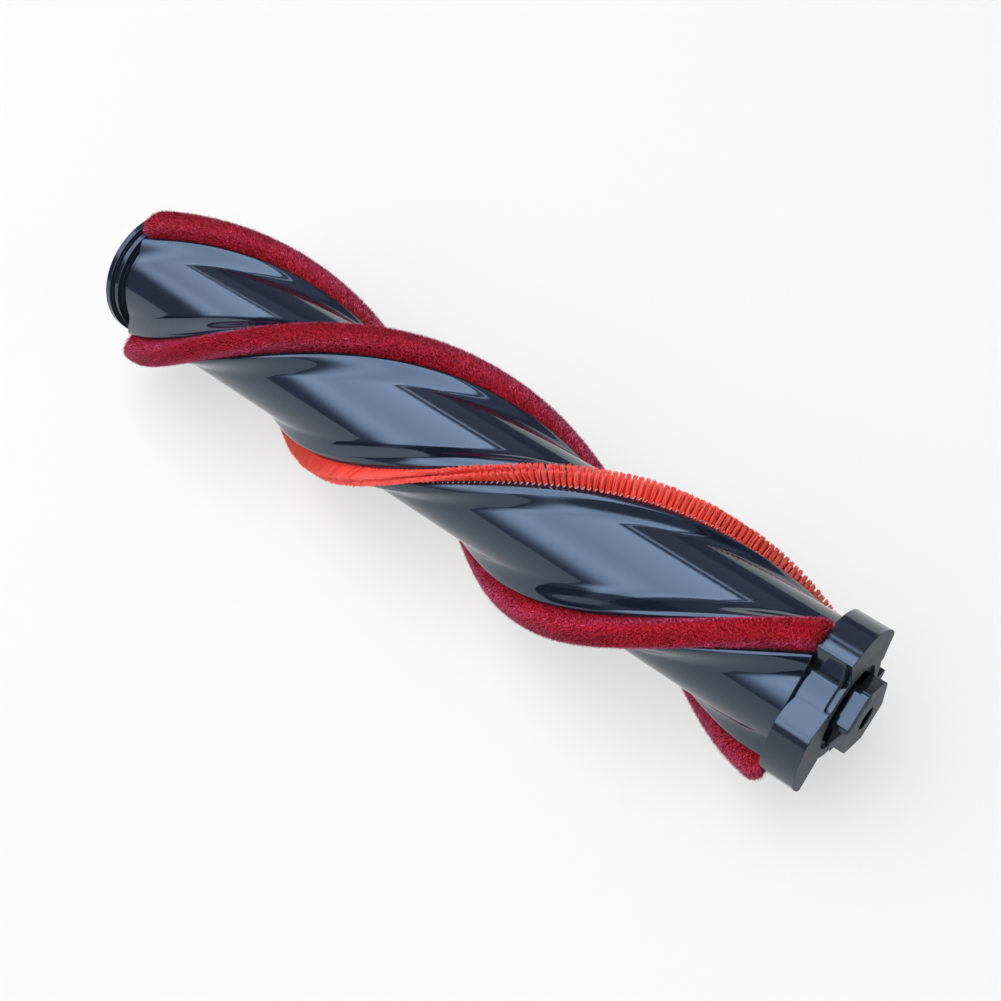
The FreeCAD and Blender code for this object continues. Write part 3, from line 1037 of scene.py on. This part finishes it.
class ROLLER_OT_plush(bpy.types.Operator):
    """Grow the pile of the two plush strips"""

    bl_idname = "roller.plush"
    bl_label = "Grow Plush Strips"

    def execute(self, context):
        settings = context.scene.roller_plush
        material = plush_fibre(settings)
        for strip in range(BRISTLE_STRIP):
            random = np.random.default_rng(PLUSH_SEED + strip)
            body, quads, ends = pile_body(settings, strip, random)
            blades, triangles, normals, painted_shading = pile_fibres(settings, strip, random)
            points = np.concatenate([body, blades])
            faces = quads.tolist() + [end.tolist() for end in ends]
            faces += (triangles + len(body)).tolist()
            name = "plush_strip_%d" % (strip + 1)
            piece = add_piece(name, points, faces, material)
            mesh = piece.data
            body_normals = np.zeros(len(mesh.vertices) * 3, np.float32)
            mesh.vertices.foreach_get("normal", body_normals)
            body_normals = body_normals.reshape(-1, 3)[: len(body)]
            mesh.normals_split_custom_set_from_vertices(np.concatenate([body_normals, normals]))
            # The dense body takes the painted shade of the fibre roots.
            add_shade(mesh, "pile_painted_shading", np.concatenate([np.full(len(body), ROOT_PAINTED_SHADE), painted_shading]))
            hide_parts("plush_pile_%d" % (strip + 1))
        return {"FINISHED"}


class ROLLER_OT_bristle(bpy.types.Operator):
    """Plant the two rows of tufts of the bristle strip and bind them with thread"""

    bl_idname = "roller.bristle"
    bl_label = "Plant Bristle Strip"

    def execute(self, context):
        settings = context.scene.roller_bristle
        random = np.random.default_rng(BRISTLE_SEED)
        roots, tips = tuft_filaments(settings, random)
        material = bristle_filament(settings)
        piece = add_rods("bristle_strip", roots, tips, settings.filament_radius, material)
        # Painted shade at the filament roots and a painted highlight at their tips.
        add_shade(piece.data, "filament_painted_shading", painted_filament_shading(settings, len(roots), random))
        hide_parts("bristle_tufts")
        self.bind(settings, random)
        return {"FINISHED"}

    def bind(self, settings, random):
        """A short stitch at the foot of every tuft, on the strip's leading side."""
        run = tuft_runs(settings)
        side = np.full(len(run), settings.stitch_offset)
        foot = np.full(len(run), settings.stitch_radius)
        head = foot + settings.stitch_length * random.uniform(*STITCH_HEIGHTS, len(run))
        slant = STITCH_SLANT * settings.pitch
        roots = strip_points(run - slant, BRISTLE_STRIP, foot, side)
        tips = strip_points(run + slant, BRISTLE_STRIP, head, STITCH_DRAW * side)
        material = binding_thread(settings)
        add_rods("bristle_thread", roots, tips, settings.stitch_thickness, material)


class ROLLER_OT_stage(bpy.types.Operator):
    """Set the floor, the light tent and the camera"""

    bl_idname = "roller.stage"
    bl_label = "Set Stage"

    def execute(self, context):
        settings = context.scene.roller_stage
        scene = context.scene
        scene.view_settings.view_transform = "Standard"
        self.floor(settings)
        self.light_tent(settings)
        self.key_lamp(settings)
        world = bpy.data.worlds.new("white_room")
        world.use_nodes = True
        background = world.node_tree.nodes["Background"]
        set_inputs(background, {"Color": (1.0, 1.0, 1.0, 1.0), "Strength": 1.0})
        scene.world = world
        self.camera(settings)
        return {"FINISHED"}

    def camera(self, settings):
        data = bpy.data.cameras.new("camera")
        data.lens = settings.camera_lens
        data.sensor_width = SENSOR_WIDTH
        data.clip_start = NEAREST_VIEW
        camera = add_object("camera", data)
        back = Vector(settings.camera_back).normalized()
        right = Vector(settings.camera_up).cross(back).normalized()
        turn = Matrix((right, back.cross(right), back)).transposed()
        camera.matrix_world = Matrix.Translation(settings.camera_place) @ turn.to_4x4()
        bpy.context.scene.camera = camera

    def floor(self, settings):
        """A pale floor that keeps the shadow and is nearly white where it is seen or mirrored."""
        half = 0.5 * settings.floor_size
        corners = [(-half, -half), (half, -half), (half, half), (-half, half)]
        material, tree, shader = new_material("pale_floor")
        colour = tuple(settings.floor_colour)
        stops = [(NOISE_LOW, tinted(colour, FLOOR_SHADOW)), (NOISE_HIGH, colour)]
        tree.links.new(ramp(tree, noise(tree, scale=6.0, detail=2.0), stops), shader.inputs["Base Color"])
        set_inputs(shader, {"Roughness": 0.9, "Specular IOR Level": 0.1})
        path = tree.nodes.new("ShaderNodeLightPath")
        seen = calculate(tree, "ADD", path.outputs["Is Camera Ray"], path.outputs["Is Glossy Ray"])
        seen = calculate(tree, "ADD", seen, path.outputs["Is Transmission Ray"])
        white = tree.nodes.new("ShaderNodeEmission")
        mix = tree.nodes.new("ShaderNodeMixShader")
        tree.links.new(calculate(tree, "MULTIPLY", seen, FLOOR_WHITE), mix.inputs["Fac"])
        tree.links.new(shader.outputs["BSDF"], mix.inputs[1])
        tree.links.new(white.outputs["Emission"], mix.inputs[2])
        tree.links.new(mix.outputs["Shader"], tree.nodes["Material Output"].inputs["Surface"])
        points = [(x, y, floor_level) for x, y in corners]
        floor = add_mesh("floor", points, [(0, 1, 2, 3)], material)

    def key_lamp(self, settings):
        data = bpy.data.lights.new("key_lamp", "AREA")
        data.energy = settings.key_power
        data.color = settings.key_colour
        data.size = LAMP_SIZE
        lamp = add_object("key_lamp", data)
        lamp.location = LAMP_PLACE
        lamp.rotation_euler = (LAMP_TILT, 0.0, 0.0)
        lamp.visible_glossy = False

    def light_tent(self, settings):
        """A half tube of soft light over the roller, with one bright window on the near side."""
        points = []
        for angle in np.linspace(0.0, math.pi, TENT_STEPS + 1):
            y, z = TENT_RADIUS * math.cos(angle), TENT_RADIUS * math.sin(angle)
            points += [(-TENT_HALF_LENGTH, y, z), (TENT_HALF_LENGTH, y, z)]
        faces = [(2 * k, 2 * k + 2, 2 * k + 3, 2 * k + 1) for k in range(TENT_STEPS)]
        tent = add_mesh("light_tent", points, faces, self.tent_glow(settings))
        tent.visible_camera = False

    def tent_glow(self, settings):
        """Light that changes round the tent and along it, in a window that narrows to the left."""
        material, tree, shader = new_material("tent_glow")
        tree.nodes.remove(shader)
        glow = tree.nodes.new("ShaderNodeEmission")
        place = coordinates(tree, "Object")
        turn_share = calculate(tree, "ARCTAN2", place["Z"], place["Y"])
        turn_share = calculate(tree, "DIVIDE", turn_share, math.pi)
        beyond = calculate(tree, "SUBTRACT", WINDOW_NARROWS, place["X"])
        beyond = calculate(tree, "MAXIMUM", beyond, 0.0)
        widen = calculate(tree, "MULTIPLY_ADD", beyond, NARROWING, 1.0)
        turn_share = calculate(tree, "SUBTRACT", turn_share, WINDOW_MIDDLE)
        turn_share = calculate(tree, "MULTIPLY_ADD", turn_share, widen, WINDOW_MIDDLE)
        sky = tuple(settings.sky_colour)
        stops = [(position, tinted(sky, level)) for position, level in TENT_LEVELS]
        tree.links.new(ramp(tree, turn_share, stops), glow.inputs["Color"])
        reach = tree.nodes.new("ShaderNodeMapRange")
        set_inputs(reach, {"From Min": -TENT_HALF_LENGTH, "From Max": TENT_HALF_LENGTH})
        tree.links.new(place["X"], reach.inputs["Value"])
        stops = [(position, (level, level, level)) for position, level in WINDOW_LEVELS]
        window = ramp(tree, reach.outputs["Result"], stops)
        strength = calculate(tree, "MULTIPLY", window, settings.sky_level)
        tree.links.new(strength, glow.inputs["Strength"])
        tree.links.new(glow.outputs["Emission"], tree.nodes["Material Output"].inputs["Surface"])
        return material


class ROLLER_PT_sidebar(bpy.types.Panel):
    """Lists the steps that dress the roller brush"""

    bl_idname = "ROLLER_PT_sidebar"
    bl_label = "Roller Brush"
    bl_space_type = "VIEW_3D"
    bl_region_type = "UI"
    bl_category = "Roller Brush"

    def draw(self, context):
        column = self.layout.column()
        for operator in operators:
            column.operator(operator.bl_idname)


operators = (ROLLER_OT_mouldings, ROLLER_OT_core, ROLLER_OT_plush, ROLLER_OT_bristle, ROLLER_OT_stage)
groups = {
    "roller_core": CoreSettings,
    "roller_plush": PlushSettings,
    "roller_bristle": BristleSettings,
    "roller_mouldings": MouldingSettings,
    "roller_stage": StageSettings,
}


def register():
    for group in groups.values():
        bpy.utils.register_class(group)
    for name, group in groups.items():
        setattr(bpy.types.Scene, name, PointerProperty(type=group))
    for operator in operators:
        bpy.utils.register_class(operator)
    bpy.utils.register_class(ROLLER_PT_sidebar)


def unregister():
    bpy.utils.unregister_class(ROLLER_PT_sidebar)
    for operator in reversed(operators):
        bpy.utils.unregister_class(operator)
    for name in groups:
        delattr(bpy.types.Scene, name)
    for group in reversed(list(groups.values())):
        bpy.utils.unregister_class(group)


def main():
    register()
    bpy.ops.roller.mouldings()
    bpy.ops.roller.core()
    bpy.ops.roller.plush()
    bpy.ops.roller.bristle()
    bpy.ops.roller.stage()


if __name__ == "__main__":
    main()
